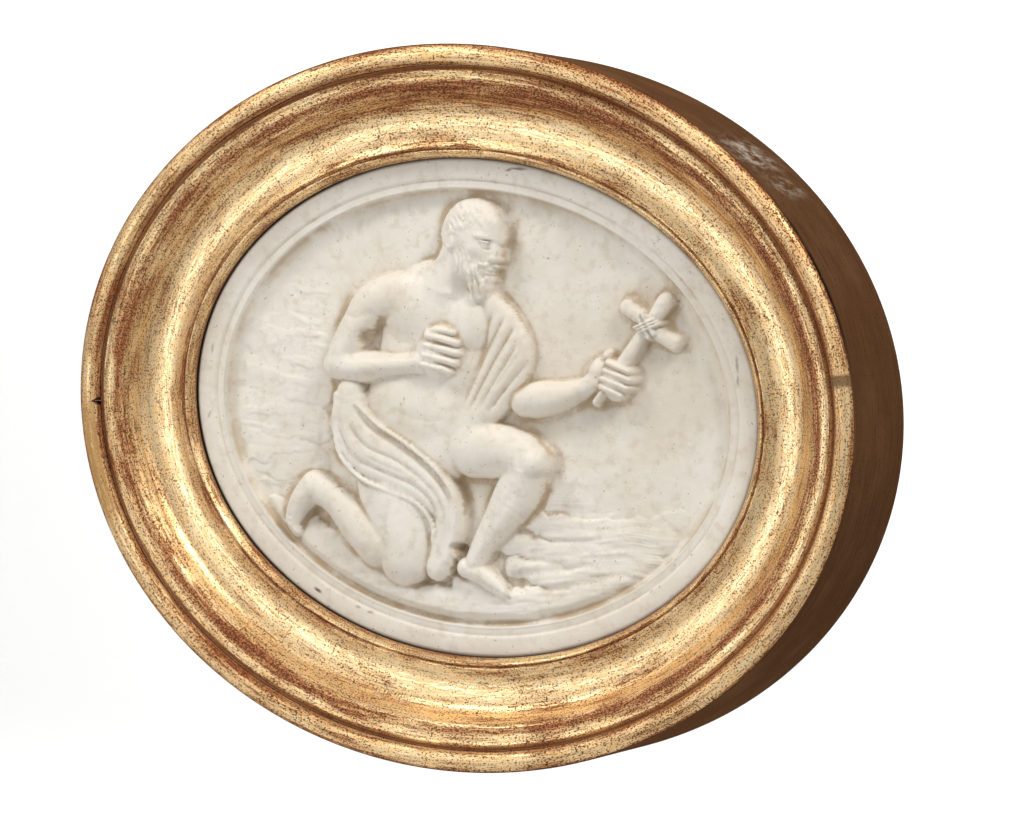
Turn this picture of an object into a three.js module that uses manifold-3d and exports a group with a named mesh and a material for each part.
// Oval marble relief of a kneeling bearded figure with a cross, in a gilt and brown wooden frame.
// Millimetres. +X is to the viewer's right, +Z is up, the front faces -Y, the back plane is y = 0.
import * as THREE from "three";
import { mergeVertices } from "three/addons/utils/BufferGeometryUtils.js";
import Manifold from "manifold-3d";

const wasm = await Manifold();
wasm.setup();

// main sizes of the oval frame
const HALF_WIDTH = 240;
const HALF_HEIGHT = 207.4;
const RING_STEPS = 48;
const PIECE_GAP = 0.3;

// depths, measured from the wall towards the viewer
const SIDE_DEPTH = 93.2;
const BAND_CREST = 97;
const GROOVE_FLOOR = 86.5;
const MOULDING_RIDGE = 92.6;
const SHOULDER_DEPTH = 91.2;
const COVE_BOTTOM = 73.8;
const BEAD_CREST = 75.8;
const LIP_FRONT = 70.5;
const MARBLE_RIM = 68;
const GROUND_DEPTH = 60;
const BACKBOARD_DEPTH = 29.7;

// distances in from the outer edge of the frame
const BAND_WIDTH = 12;
const GROOVE_WIDTH = 2.4;
const SHOULDER_IN = 22;
const COVE_START_IN = 34;
const COVE_MIDDLE_IN = 45;
const RED_LINE_IN = 58.9;
const SIGHT_IN = 64.1;
const REBATE_IN = 57.7;

// seams of the side band, as angles round the oval
const RIGHT_SEAM = 15.6;
const LEFT_SEAM = 189.6;

// marble rim, as distances in from the edge seen at the frame's lip
const RIM_BAND = 12.2;
const FILLET_START = 14.8;
const RIM_FILLET = 17.4;
const COVE_END = 25.2;
const FILLET_DROP = 1.1;
const RIM_HIDDEN = 6;

// how finely the carved forms are cut: parts across a limb, and round a mass
const LIMB_PARTS = 4;
const MASS_PARTS = 8;
const SKULL_PARTS = 14;
// ends of limbs narrower than this have one bevel in place of two
const NARROW = 9;
// how deep the carved forms run into the slab
const ROOT = -3;

const radians = (deg) => (deg * Math.PI) / 180;

// Triangles turned so that the closed body they make faces outwards.
function outward(points, triangles) {
  let volume = 0;
  for (const [a, b, c] of triangles) {
    const [p, q, r] = [points[a], points[b], points[c]];
    volume += p[0] * (q[1] * r[2] - q[2] * r[1]) + p[1] * (q[2] * r[0] - q[0] * r[2]);
    volume += p[2] * (q[0] * r[1] - q[1] * r[0]);
  }
  return volume < 0 ? triangles.map(([a, b, c]) => [a, c, b]) : triangles;
}

// A closed body from points and triangles.
function closedBody(points, triangles) {
  const shape = new THREE.BufferGeometry();
  shape.setAttribute("position", new THREE.Float32BufferAttribute(points.flat(), 3));
  shape.setIndex(outward(points, triangles).flat());
  return mergeVertices(shape, 1e-5);
}

// The same as a body that can be joined and cut.
function cuttable(points, triangles) {
  const vertProperties = new Float32Array(points.flat());
  const triVerts = new Uint32Array(outward(points, triangles).flat());
  return new wasm.Manifold(new wasm.Mesh({ numProp: 3, vertProperties, triVerts }));
}

// A point on an oval line that lies `inset` inside the outer edge, at an angle round the oval.
function ovalPoint(inset, depth, angle) {
  return [(HALF_WIDTH - inset) * Math.cos(angle), -depth, (HALF_HEIGHT - inset) * Math.sin(angle)];
}

// A closed profile of [inset, depth] corners carried all the way round the oval.
function fullRing(profile) {
  const points = [];
  const triangles = [];
  const n = profile.length;
  for (let i = 0; i < RING_STEPS; i++) {
    const angle = (2 * Math.PI * i) / RING_STEPS;
    for (const [inset, depth] of profile) points.push(ovalPoint(inset, depth, angle));
  }
  for (let i = 0; i < RING_STEPS; i++) {
    const here = i * n;
    const next = ((i + 1) % RING_STEPS) * n;
    for (let j = 0; j < n; j++) {
      const k = (j + 1) % n;
      triangles.push([here + j, here + k, next + k], [here + j, next + k, next + j]);
    }
  }
  return closedBody(points, triangles);
}

// The same profile carried from one seam to the other, closed with a flat face at each end.
function partRing(profile, from, to) {
  const points = [];
  const triangles = [];
  const n = profile.length;
  const trim = PIECE_GAP / 2 / HALF_WIDTH;
  const start = radians(from) + trim;
  const finish = radians(to) - trim;
  const stops = [start];
  for (let i = Math.ceil((from * RING_STEPS) / 360 + 0.2); i < (to * RING_STEPS) / 360 - 0.2; i++) {
    stops.push((2 * Math.PI * i) / RING_STEPS);
  }
  stops.push(finish);
  for (const angle of stops) {
    for (const [inset, depth] of profile) points.push(ovalPoint(inset, depth, angle));
  }
  for (let i = 0; i + 1 < stops.length; i++) {
    for (let j = 0; j < n; j++) {
      const k = (j + 1) % n;
      const here = i * n;
      const next = here + n;
      triangles.push([here + j, here + k, next + k], [here + j, next + k, next + j]);
    }
  }
  const flat = profile.map(([inset, depth]) => new THREE.Vector2(inset, depth));
  const turn = Math.sign(THREE.ShapeUtils.area(flat));
  const last = (stops.length - 1) * n;
  for (const face of THREE.ShapeUtils.triangulateShape(flat, [])) {
    const sense = Math.sign(THREE.ShapeUtils.area(face.map((k) => flat[k])));
    const [a, b, c] = sense === turn ? face : [...face].reverse();
    triangles.push([a, c, b], [last + a, last + b, last + c]);
  }
  return closedBody(points, triangles);
}

// brown sides with the narrow gilt band on the front
const sideProfile = [
  [0, 0],
  [0, SIDE_DEPTH - 0.8],
  [0.8, SIDE_DEPTH + 0.5],
  [3.4, BAND_CREST - 1.3],
  [6.6, BAND_CREST],
  [9.6, BAND_CREST - 0.7],
  [BAND_WIDTH - 0.6, BAND_CREST - 2.6],
  [BAND_WIDTH, BAND_CREST - 4],
  [BAND_WIDTH, 0],
];

// the carved moulding between the groove and the sight edge
const mouldingBack = BAND_WIDTH + PIECE_GAP;
const mouldingProfile = [
  [mouldingBack, 0],
  [mouldingBack, GROOVE_FLOOR],
  [BAND_WIDTH + GROOVE_WIDTH, GROOVE_FLOOR],
  [BAND_WIDTH + GROOVE_WIDTH, MOULDING_RIDGE - 1],
  [BAND_WIDTH + GROOVE_WIDTH + 1.3, MOULDING_RIDGE],
  [BAND_WIDTH + GROOVE_WIDTH + 3.2, SHOULDER_DEPTH + 0.6],
  [SHOULDER_IN, SHOULDER_DEPTH - 0.4],
  [SHOULDER_IN + 4.6, SHOULDER_DEPTH - 2.8],
  [SHOULDER_IN + 8, COVE_BOTTOM + 9.6],
  [COVE_START_IN - 1, COVE_BOTTOM + 4.6],
  [COVE_START_IN + 3.4, COVE_BOTTOM + 1.5],
  [COVE_MIDDLE_IN, COVE_BOTTOM],
  [COVE_MIDDLE_IN + 7.4, COVE_BOTTOM + 0.5],
  [RED_LINE_IN - 0.6, COVE_BOTTOM + 3],
  [RED_LINE_IN, BEAD_CREST - 1.1],
  [RED_LINE_IN + 1.9, BEAD_CREST],
  [SIGHT_IN - 1, LIP_FRONT + 2.2],
  [SIGHT_IN, LIP_FRONT],
  [SIGHT_IN, MARBLE_RIM + PIECE_GAP],
  [REBATE_IN, MARBLE_RIM + PIECE_GAP],
  [REBATE_IN, 0],
];

// a plain oval board behind the marble
function backboard() {
  const inset = REBATE_IN + PIECE_GAP;
  const points = [[0, 0, 0], [0, -BACKBOARD_DEPTH, 0]];
  const triangles = [];
  for (let i = 0; i < RING_STEPS; i++) {
    const angle = (2 * Math.PI * i) / RING_STEPS;
    points.push(ovalPoint(inset, 0, angle), ovalPoint(inset, BACKBOARD_DEPTH, angle));
  }
  for (let i = 0; i < RING_STEPS; i++) {
    const a = 2 + 2 * i;
    const b = 2 + 2 * ((i + 1) % RING_STEPS);
    triangles.push([0, b, a], [1, a + 1, b + 1], [a, b, b + 1], [a, b + 1, a + 1]);
  }
  return closedBody(points, triangles);
}

// A smooth curve through stations, each a row of numbers, with `steps` parts between two stations.
function through(stations, steps) {
  const first = stations[0].map((v, i) => 2 * v - stations[1][i]);
  const end = stations.length - 1;
  const last = stations[end].map((v, i) => 2 * v - stations[end - 1][i]);
  const rows = [first, ...stations, last];
  const curve = [];
  for (let s = 1; s <= end; s++) {
    for (let k = 0; k < steps; k++) {
      const t = k / steps;
      curve.push(rows[s].map((p1, i) => {
        const [p0, p2, p3] = [rows[s - 1][i], rows[s + 1][i], rows[s + 2][i]];
        const bend = (2 * p0 - 5 * p1 + 4 * p2 - p3) * t * t + (3 * p1 - p0 - 3 * p2 + p3) * t * t * t;
        return 0.5 * (2 * p1 + (p2 - p0) * t + bend);
      }));
    }
  }
  curve.push(stations[end]);
  return curve;
}

// Rings of points, one after the other, closed over at both ends.
function stacked(rings) {
  const n = rings[0].length;
  const points = rings.flat();
  const triangles = [];
  for (let i = 0; i + 1 < rings.length; i++) {
    for (let j = 0; j < n; j++) {
      const [here, there] = [i * n + j, i * n + ((j + 1) % n)];
      triangles.push([here, there, there + n], [here, there + n, here + n]);
    }
  }
  const last = (rings.length - 1) * n;
  for (let j = 1; j + 1 < n; j++) triangles.push([0, j + 1, j], [last, last + j, last + j + 1]);
  return cuttable(points, triangles);
}

// A rounded limb or fold along stations [x, z, half width, top]; its straight foot stands over the ground.
function limb(foot, stations, steps = 1) {
  const path = through(stations, steps);
  const ends = [path[0], path[path.length - 1]];
  const ways = [[path[0], path[1]], [path[path.length - 2], path[path.length - 1]]].map(([p, q]) => {
    const long = Math.hypot(q[0] - p[0], q[1] - p[1]);
    return [(q[0] - p[0]) / long, (q[1] - p[1]) / long];
  });
  // round ends: the width and the height shrink as the section moves outwards
  const cap = (k, sign) => (ends[k][2] < NARROW ? [60] : [45, 86]).map((deg) => {
    const [x, z, width, top] = ends[k];
    const [c, out] = [Math.cos(radians(deg)), sign * width * Math.sin(radians(deg))];
    return [x + ways[k][0] * out, z + ways[k][1] * out, width * c, foot + (top - foot) * c];
  });
  const line = [...cap(0, -1).reverse(), ...path, ...cap(1, 1)];
  const rings = line.map(([x, z, width, top], i) => {
    const [p, q] = [line[Math.max(i - 1, 0)], line[Math.min(i + 1, line.length - 1)]];
    const long = Math.hypot(q[0] - p[0], q[1] - p[1]);
    const [acrossX, acrossZ] = [-(q[1] - p[1]) / long, (q[0] - p[0]) / long];
    const section = [[width, ROOT]];
    for (let k = 0; k <= LIMB_PARTS; k++) {
      const turn = (Math.PI * k) / LIMB_PARTS;
      section.push([width * Math.cos(turn), foot + (top - foot) * Math.sin(turn)]);
    }
    section.push([-width, ROOT]);
    return section.map(([side, height]) => (
      [x + acrossX * side, -GROUND_DEPTH - height, z + acrossZ * side]));
  });
  return stacked(rings);
}

// An oval ring of points lying at one height: centre, half widths and turn in degrees.
function ovalRing(cx, cz, wide, tall, turn, height, parts) {
  const [c, s] = [Math.cos(radians(turn)), Math.sin(radians(turn))];
  return Array.from({ length: parts }, (_, k) => {
    const angle = (2 * Math.PI * k) / parts;
    const [u, v] = [wide * Math.cos(angle), tall * Math.sin(angle)];
    return [cx + u * c - v * s, -GROUND_DEPTH - height, cz + u * s + v * c];
  });
}

// A rounded mass: centre, half widths, turn in degrees, foot and top.
function mass(cx, cz, wide, tall, turn, foot, top, parts = MASS_PARTS) {
  const dome = [0, 35, 65, 88].map((deg) => {
    const share = Math.cos(radians(deg));
    const height = foot + (top - foot) * Math.sin(radians(deg));
    return ovalRing(cx, cz, wide * share, tall * share, turn, height, parts);
  });
  return stacked([ovalRing(cx, cz, wide, tall, turn, ROOT, parts), ...dome]);
}

// A hollow as the round tool leaves it: centre, half widths, turn in degrees, level of its mouth and depth.
function hollow(cx, cz, wide, tall, turn, level, depth) {
  const cut = stacked([-88, -45, 0, 45, 88].map((deg) => {
    const share = Math.cos(radians(deg));
    const height = level - depth * Math.sin(radians(deg));
    return ovalRing(cx, cz, wide * share, tall * share, turn, height, MASS_PARTS);
  }));
  return { cut };
}

// the carved forms, from the back of the relief to the front; a hollow cuts what stands before it
const carving = [
  // rock: the ledge under the kneeling leg, the beds at the lower right and the rough face on the left
  limb(0, [
    [-116, -84, 12, 2.6], [-90, -96, 16, 4.6], [-58, -108, 16, 6],
    [-20, -117, 12, 7], [20, -116, 14, 6.4], [50, -112, 12, 5.4],
  ]),
  limb(0, [
    [8, -103, 7, 5.6], [30, -108, 7, 5.8], [62, -103, 8, 5.2],
    [92, -92, 7, 4.4], [112, -80, 5, 3],
  ]),
  limb(0, [[38, -86, 6, 4.4], [66, -90, 7, 4.2], [92, -83, 7, 3.6], [120, -70, 6, 2.6]]),
  limb(0, [[34, -73, 6, 3.2], [62, -76, 7, 3.4], [92, -70, 8, 2.8], [126, -57, 6, 1.8]]),
  limb(0, [[46, -58, 5, 2.2], [70, -61, 7, 2.4], [100, -57, 7, 1.9], [132, -44, 5, 1.2]]),
  limb(0, [[-145, 20, 8, 1.2], [-122, 22, 10, 2.2], [-100, 16, 8, 2]]),
  limb(0, [[-148, -2, 8, 1.2], [-124, -1, 10, 2.2], [-100, -4, 9, 2.2]]),
  limb(0, [[-146, -24, 8, 1.3], [-122, -24, 10, 2.2], [-98, -26, 9, 2.2]]),
  limb(0, [[-138, -47, 8, 1.4], [-116, -50, 10, 2.4], [-98, -50, 8, 2.2]]),
  // trunk, shoulders, breast and belly
  limb(2, [
    [-29, 46, 36, 11], [-29, 34, 35, 10.8], [-30, 24, 34, 10.4],
    [-33, 5, 33, 10.4], [-32, -10, 35, 11], [-27, -26, 30, 11.5],
  ]),
  mass(-45, 52, 26, 18, -10, 2, 12.2),
  mass(-8, 48, 16, 16, 0, 2, 11.4),
  mass(-38, -6, 29, 20, -12, 2, 12.4),
  // neck and the drilled hollow between beard and chest
  limb(2.5, [[-20, 90, 13, 11.5], [-23, 78, 13.5, 11.6], [-28, 66, 15, 11.6]]),
  hollow(-8, 68.5, 5.5, 4.2, 0, 11, 8),
  // cloak over the shoulder with its falling folds
  limb(2, [[10, 56, 10, 9], [13, 44, 15, 9], [16, 30, 17, 8.6], [9, 12, 15, 8.6], [8, -1, 12, 8.4]]),
  limb(6, [[12, 60, 4, 11.5], [4, 42, 3.8, 11], [-2, 24, 3.4, 10.6], [-6, 6, 3, 9.5]]),
  limb(6, [[19, 56, 5, 11.5], [11, 42, 4.4, 11], [4, 24, 3.8, 10.6], [0, 4, 3.4, 9.6]]),
  limb(6, [[24, 46, 3.6, 9.5], [15, 30, 4, 10.5], [9, 14, 3.6, 10], [6, -2, 3.4, 9.2]]),
  limb(5, [[28, 38, 3.2, 8.5], [20, 24, 3.6, 9.8], [14, 10, 3.4, 9.5], [11, -3, 3.2, 8.8]]),
  limb(5, [[32, 31, 3.6, 8.6], [25, 19, 4.2, 9.6], [19, 7, 3.8, 9.4], [17, -3, 3, 8.6]]),
  // bent arm on the left, with the gap behind it
  limb(3, [
    [-60, 56, 13, 12.5], [-71, 50, 12.5, 13.5], [-78, 38, 10.5, 14],
    [-84, 22, 9.8, 14.5], [-85.5, 13, 9.8, 14.5],
  ]),
  hollow(-70, 29, 6, 8, -30, 10, 8),
  limb(3, [
    [-87, 11.5, 9.5, 14.5], [-74, 11.5, 10.4, 15.5], [-58, 15, 8.6, 15.5],
    [-43, 18.5, 7.4, 15.5], [-34, 21, 8.5, 16],
  ]),
  // fist held against the chest, with four curled fingers and the thumb
  mass(-26, 26, 15, 14.5, -8, 3, 16.4),
  ...[[36.5, -13], [30.8, -12], [25, -12.5], [19.5, -15]].map(([z, tip]) => (
    limb(8, [[-30, z + 0.8, 3.1, 16.8], [-22, z + 0.3, 3.1, 17.4], [tip, z - 1, 3, 15.4]], 1))),
  limb(5, [[-29, 40, 3.6, 15.6], [-17, 41, 3.2, 15]]),
  // forearm, wrist and palm on the right
  limb(1.5, [
    [31, 8, 9, 10.5], [40, 11, 10.8, 12], [54, 15.5, 8.8, 11.5],
    [66, 21.5, 6.6, 10.5], [73, 27, 7.5, 10.5],
  ]),
  mass(74, 33, 7, 9, -20, 2, 10.5),
  mass(85, 29, 10.5, 12, 15, 2, 12),
  // cross of two rounded bars with a crossed binding
  limb(5, [[88, 40, 4.9, 9], [107, 78, 5.2, 9.5]]),
  limb(5, [[86, 71, 4.6, 8.2], [99, 65, 4.6, 8.6]], 1),
  limb(5, [[101, 61, 4.2, 8.2], [116, 56, 5, 8.2]], 1),
  limb(5, [[93.5, 60.5, 2, 10.2], [105.5, 66.5, 2, 10.2]], 1),
  limb(5, [[103, 59, 2, 10.4], [95, 69, 2, 10.4]], 1),
  // four fingers round the shaft, the little finger and the thumb
  ...[[37.2, 80, 92.5], [32.4, 79, 94], [27.6, 78, 93], [23, 78, 90]].map(([z, from, to]) => (
    limb(6, [[from, z + 1.8, 2.4, 11.6], [(from + to) / 2, z + 0.4, 2.6, 13.2],
    [to, z - 1.6, 2.4, 11.4]], 1))),
  limb(3, [[78.5, 20.5, 2.8, 11], [75.5, 15.5, 3, 9.5]], 1),
  mass(77.5, 42.5, 3, 3.2, 0, 3, 9.5),
  // kneeling leg: thigh and knee, shin, foot and the hollow under the arch
  limb(3, [[-44, -38, 26, 11.5], [-37, -62, 24, 13.5], [-28, -84, 19, 15], [-27, -92, 17.5, 15]]),
  limb(3, [[-46, -90, 12.5, 13.2], [-60, -81, 12, 13], [-76, -69, 9.6, 12], [-90, -62, 9, 11.5]]),
  limb(2.5, [[-92, -62, 9.5, 11.5], [-99, -72, 7.5, 10.5], [-102, -84, 5.4, 9.5], [-99, -90, 4, 9]]),
  hollow(-86, -82, 7, 5.5, -25, 3, 5),
  // front leg: thigh, shin, kneecap and foot
  limb(3, [[6, -24, 16.5, 12.5], [20, -22.5, 16, 15.5], [33, -23, 14.2, 17], [40, -26, 13, 17.5]]),
  limb(3, [
    [40, -29, 12.6, 17], [35, -45, 14, 15.5], [28, -60, 11, 14],
    [20, -76, 8, 12.5], [16, -88, 6.8, 12],
  ]),
  mass(45, -25, 8, 9, 20, 8, 18.4),
  limb(3, [[11, -92, 6.5, 11], [20, -94, 6.2, 11.5], [30, -99, 5.4, 10], [36, -103, 3.8, 9]]),
  // loin cloth: its body, then the long sweeping folds
  limb(4, [
    [-76, -3, 9, 11.5], [-72, -22, 14, 12.4], [-56, -35, 18, 12.8],
    [-34, -43, 15, 13], [-16, -52, 12, 12.8],
  ]),
  limb(4, [[-16, -52, 12, 12.8], [-5, -62, 10, 12.6], [-3, -78, 8.4, 12], [-6, -93, 8, 11.6]]),
  limb(9, [
    [-74, -7, 2.6, 13.6], [-58, -17, 2.8, 14.6], [-40, -24, 2.8, 15.2], [-22, -33, 3, 15.3],
    [-8, -44.5, 3, 15],
    [0, -58, 2.6, 13.8], [2.5, -76, 2.6, 13], [-1, -92, 2.6, 12.6],
  ]),
  limb(9, [
    [-78, -8, 2.6, 13.2], [-68, -21, 3.2, 14.4], [-50, -32, 3.4, 15], [-28, -42, 3.6, 15.2],
    [-12, -52, 3.2, 14.8],
    [-4, -66, 2.8, 13.8], [-3, -84, 2.6, 13], [-7, -98, 2.4, 12.4],
  ]),
  limb(9, [
    [-80.5, -8, 2.4, 12.6], [-76, -26, 3, 14], [-64, -39, 3.6, 14.8], [-42, -48, 4.2, 15],
    [-22, -54.5, 3.6, 14.8],
    [-9, -66, 2.8, 14], [-6.5, -80, 2.4, 13], [-9.5, -94, 2.2, 12.4],
  ]),
  limb(6, [
    [-83, -4, 2.2, 11], [-81, -24, 2.6, 12.6], [-74, -41, 2.8, 13.2],
    [-60, -51.5, 3, 13.6], [-38, -55.5, 2.8, 13.8],
  ]),
  hollow(5.5, -82, 3, 3, 0, 1, 5),
  // skull, jaw with the beard, ear
  mass(-14, 99, 23.5, 19.5, 12, 3, 18, SKULL_PARTS),
  limb(3, [[-19, 90, 8, 15], [-9, 85, 9, 16], [2, 79, 9, 16], [6, 71, 6.6, 14.8], [7, 66, 4.6, 13.4]]),
  limb(12, [[-17, 98, 2, 17.8], [-20.5, 98.5, 2, 18], [-22, 94.5, 2, 17.8], [-19.5, 89.5, 1.9, 17]]),
  // face turned three quarters to the right: cheek, brow, nose, lips, eye sockets
  mass(-4, 92, 9, 8, 0, 8, 17.8),
  limb(10, [[-8.5, 102, 2, 17.4], [-2.5, 104, 2.2, 18.2], [3.6, 103, 2, 17.6], [6.4, 103.2, 1.6, 15.4]]),
  limb(11, [[3.4, 101.5, 1.8, 18], [4.8, 97, 2, 18.6], [5.8, 93.6, 2.6, 19]], 1),
  hollow(-2.6, 99.6, 4, 2.6, 10, 18.6, 2.4),
  hollow(7, 99.8, 1.8, 2.2, 0, 16, 2),
  mass(-2.6, 99.4, 2.8, 1.7, 8, 12, 17.6),
  limb(11, [[0.6, 88, 1.6, 17], [3.6, 89.6, 1.7, 17.6], [6.4, 89, 1.4, 16.4]], 1),
  limb(11, [[2, 85.4, 1.4, 16.6], [4.4, 85, 1.5, 17], [6.6, 85.2, 1.2, 15.6]], 1),
];

// the marble's edge as [distance in from the outer edge of the frame, depth], from the back to the field
const marbleEdge = REBATE_IN + PIECE_GAP;
const seenEdge = marbleEdge + RIM_HIDDEN;
const coveWidth = COVE_END - RIM_FILLET;
const coveDrop = MARBLE_RIM - FILLET_DROP - GROUND_DEPTH;
const marbleProfile = [
  [marbleEdge, BACKBOARD_DEPTH + PIECE_GAP],
  [marbleEdge, MARBLE_RIM],
  [seenEdge + RIM_BAND, MARBLE_RIM],
  [seenEdge + FILLET_START, MARBLE_RIM - FILLET_DROP],
  [seenEdge + RIM_FILLET, MARBLE_RIM - FILLET_DROP],
  ...[25, 50, 90].map((deg) => [
    seenEdge + RIM_FILLET + coveWidth * (1 - Math.cos(radians(deg))),
    GROUND_DEPTH + coveDrop * (1 - Math.sin(radians(deg))),
  ]),
];

// One marble slab: rim and sunk field as nested oval lines, with every carved form joined on.
function marbleSlab() {
  const rings = marbleProfile.map(([inset, depth]) => Array.from({ length: RING_STEPS }, (_, i) => (
    ovalPoint(inset, depth, (2 * Math.PI * i) / RING_STEPS))));
  const slab = stacked(rings);
  let figure = null;
  let group = [];
  for (const form of carving) {
    if (!form.cut) {
      group.push(form);
      continue;
    }
    figure = wasm.Manifold.union(figure ? [figure, ...group] : [slab, ...group]).subtract(form.cut);
    group = [];
  }
  const mesh = wasm.Manifold.union([figure, ...group]).getMesh();
  const shape = new THREE.BufferGeometry();
  shape.setAttribute("position", new THREE.BufferAttribute(mesh.vertProperties, 3));
  shape.setIndex(new THREE.BufferAttribute(mesh.triVerts, 1));
  return shape;
}

function finish(colour, roughness, metalness) {
  return new THREE.MeshStandardMaterial({ color: colour, roughness, metalness, flatShading: true });
}

function named(name, shape, material) {
  const piece = new THREE.Mesh(shape, material);
  piece.name = name;
  return piece;
}

const gilding = finish(0xc39a52, 0.38, 0.85);
const brown = finish(0x5a3822, 0.5, 0);
const marble = finish(0xe2dccf, 0.55, 0);
const wood = finish(0x8f7350, 0.8, 0);

const plaque = new THREE.Group();
plaque.name = "marble_relief_plaque";
plaque.add(
  named("side_band_upper", partRing(sideProfile, RIGHT_SEAM, LEFT_SEAM), brown),
  named("side_band_lower", partRing(sideProfile, LEFT_SEAM, RIGHT_SEAM + 360), brown),
  named("gilt_moulding", fullRing(mouldingProfile), gilding),
  named("marble_relief", marbleSlab(), marble),
  named("backboard", backboard(), wood),
);

export default plaque;
